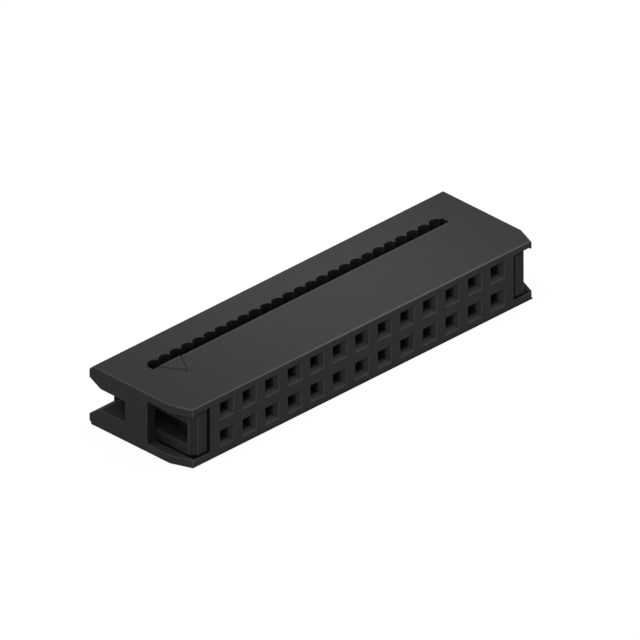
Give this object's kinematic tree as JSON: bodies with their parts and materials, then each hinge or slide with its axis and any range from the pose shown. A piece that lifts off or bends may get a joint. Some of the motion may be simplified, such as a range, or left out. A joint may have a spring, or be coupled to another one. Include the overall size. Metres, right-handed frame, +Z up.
{
  "type": "ribbon cable socket connector",
  "caption": "Insulation-displacement socket that clamps a fine-pitch ribbon cable and plugs onto a pin header, with notched ends for a strain relief.",
  "frame": {"origin": "middle of the underside of the body and cover", "axes": "+X along the rows, away from the marked first contact; +Y from the mating face to the back; +Z up, towards the face with the first-contact mark"},
  "size_m": [0.0312, 0.0086, 0.0042],
  "materials": {
    "housing": "black moulded plastic, satin",
    "contact": "stamped copper alloy with a thin gold plating"
  },
  "bodies": {
    "root": {"body": "housing", "cover": "housing", "contact_01": "contact", "contact_02": "contact", "contact_03": "contact", "contact_04": "contact", "contact_05": "contact", "contact_06": "contact", "contact_07": "contact", "contact_08": "contact", "contact_09": "contact", "contact_10": "contact", "contact_11": "contact", "contact_12": "contact", "contact_13": "contact", "contact_14": "contact", "contact_15": "contact", "contact_16": "contact", "contact_17": "contact", "contact_18": "contact", "contact_19": "contact", "contact_20": "contact", "contact_21": "contact", "contact_22": "contact", "contact_23": "contact", "contact_24": "contact", "contact_25": "contact", "contact_26": "contact"}
  },
  "joints": []
}
